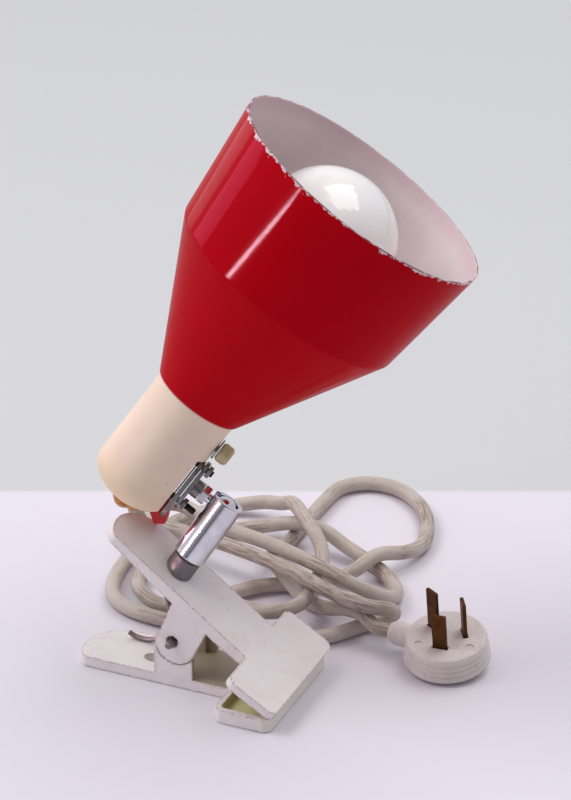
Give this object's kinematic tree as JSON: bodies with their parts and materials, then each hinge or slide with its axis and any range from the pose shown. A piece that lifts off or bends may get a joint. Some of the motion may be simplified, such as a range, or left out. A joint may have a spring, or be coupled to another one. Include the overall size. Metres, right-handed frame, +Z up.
{
  "type": "clamp spot lamp",
  "caption": "Clip-on spot lamp: sprung clamp, ball swivel in a chrome barrel, cream cap, conical red shade, bulb, flex and three-pin plug",
  "frame": {"origin": "on the flat underside of the lower arm, straight below the clamp pivot", "axes": "+X towards the jaws, +Z up away from the underside, +Y to the left of someone looking along +X"},
  "size_m": [0.1829, 0.2104, 0.2503],
  "materials": {
    "white_paint": "white enamel, chipped",
    "red_enamel": "glossy red enamel on spun aluminium, white inside",
    "cream_plastic": "satin",
    "chrome": "polished",
    "zinc": "zinc plated, dulled",
    "dark_steel": "dark oiled",
    "black_steel": "black oxide",
    "black_rubber": "matt",
    "bakelite": "dark brown moulding",
    "brass": "plain",
    "opal_glass": "opal",
    "aluminium": "satin",
    "red_plastic": "moulded",
    "amber_rubber": "translucent amber, aged",
    "ivory_plastic": "yellowed ivory",
    "flex": "grubby sheath",
    "plug_plastic": "off white, speckled",
    "aged_brass": "dark, tarnished"
  },
  "bodies": {
    "base": {"lower_arm": "white_paint", "pivot_pin": "dark_steel", "torsion_spring": "dark_steel", "cord": "flex", "plug_body": "plug_plastic", "plug_neck": "plug_plastic", "plug_pin_earth": "aged_brass", "plug_pin_active": "aged_brass", "plug_pin_neutral": "aged_brass", "cord_lead": "flex"},
    "arm": {"upper_arm": "white_paint", "barrel_foot": "zinc", "foot_screw": "dark_steel"},
    "barrel": {"swivel_barrel": "chrome", "ball_seat": "brass", "barrel_spring": "dark_steel"},
    "stud": {"ball_stud": "chrome", "stud_nut": "zinc"},
    "head": {"plate_gasket": "black_rubber", "mounting_plate": "zinc", "swivel_flange": "zinc", "flange_screw_upper": "black_steel", "flange_nut_upper": "zinc", "flange_screw_lower": "black_steel", "flange_nut_lower": "zinc", "cap": "cream_plastic", "cord_grommet": "amber_rubber", "switch_body": "bakelite", "lampholder_body": "bakelite", "shade_ring": "bakelite", "contact_plunger_a": "brass", "contact_plunger_b": "brass", "bulb_cap": "aluminium", "bulb_glass": "opal_glass", "shade": "red_enamel"},
    "button": {"switch_button": "red_plastic"},
    "knob": {"thumbscrew": "zinc", "thumbscrew_knob": "ivory_plastic"}
  },
  "joints": [
    {"name": "jaw_open", "type": "hinge", "parent": "base", "child": "arm", "pos_m": [0, 0, 0.022], "axis": [0, -1, 0], "range_deg": [0, 30], "stiffness_Nm_per_rad": 1, "springref_deg": -51.57, "deforming": ["torsion_spring", "cord_lead"]},
    {"name": "barrel_swivel", "type": "hinge", "parent": "arm", "child": "barrel", "pos_m": [-0.00228, -0.00074, 0.05001], "axis": [0.4733, 0.3278, 0.8176], "range_deg": [-60, 60]},
    {"name": "ball_tilt", "type": "hinge", "parent": "barrel", "child": "stud", "pos_m": [0.01324, 0.01001, 0.07682], "axis": [-0.2187, 0.9428, -0.2515], "range_deg": [0, 50]},
    {"name": "head_spin", "type": "hinge", "parent": "stud", "child": "head", "pos_m": [0.01324, 0.01001, 0.07682], "axis": [-0.834, -0.0468, 0.5498], "range_deg": [-60, 60], "deforming": ["cord_grommet"]},
    {"name": "switch_press", "type": "slide", "parent": "head", "child": "button", "axis": [-0.1199, 0.2165, 0.9689], "range_m": [0, 0.002], "stiffness_N_per_m": 400, "springref_m": -0.002},
    {"name": "thumbscrew_turn", "type": "hinge", "parent": "head", "child": "knob", "pos_m": [0.00901, 0.01533, 0.10178], "axis": [0.834, 0.0468, -0.5498], "range_deg": [-180, 180]}
  ]
}
